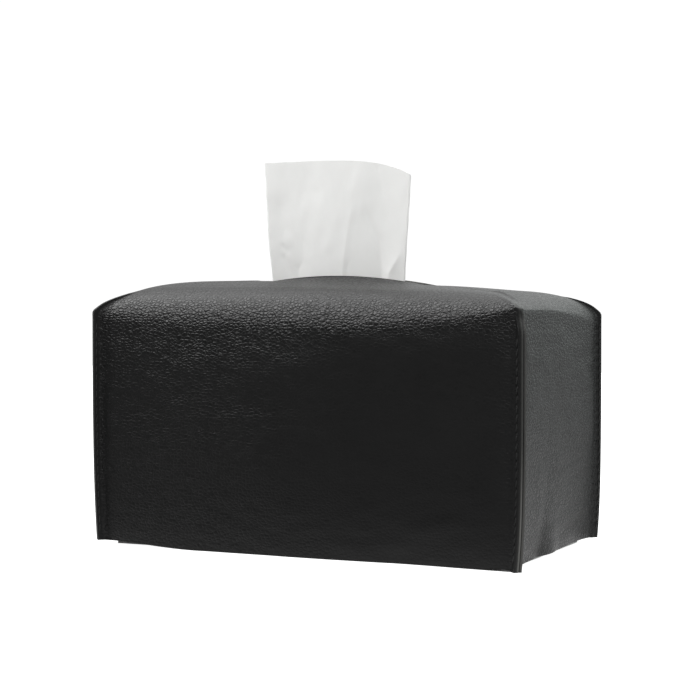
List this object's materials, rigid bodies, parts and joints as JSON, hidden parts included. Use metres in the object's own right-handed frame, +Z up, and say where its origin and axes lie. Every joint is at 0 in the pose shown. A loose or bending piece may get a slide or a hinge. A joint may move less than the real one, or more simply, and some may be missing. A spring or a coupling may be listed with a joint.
{
  "type": "tissue box cover",
  "caption": "Soft rectangular leather tissue box cover with standing corner seams and a crown slot, over a carton with a tissue pulled up.",
  "frame": {"origin": "on the table, below the middle of the cover", "axes": "X runs along the length, the front faces -Y, +Z is up"},
  "size_m": [0.2529, 0.1336, 0.2132],
  "materials": {
    "leather": "satin",
    "suede": "matte",
    "thread": "satin",
    "paperboard": "matte",
    "film": "gloss",
    "tissue": "matte"
  },
  "bodies": {
    "tissue_box": {"carton": "paperboard", "window_film": "film", "tissue_stack": "tissue"},
    "cover": {"leather_shell": "leather", "suede_lining": "suede", "seam_thread_front_left": "thread", "seam_thread_front_right": "thread", "seam_thread_back_right": "thread", "seam_thread_back_left": "thread"},
    "tissue": {"pulled_tissue": "tissue"}
  },
  "joints": [
    {"name": "cover_lift", "type": "slide", "parent": "tissue_box", "child": "cover", "axis": [0, 0, 1], "range_m": [0, 0.22]},
    {"name": "tissue_pull", "type": "slide", "parent": "tissue_box", "child": "tissue", "axis": [0, 0, 1], "range_m": [0, 0.15]}
  ]
}
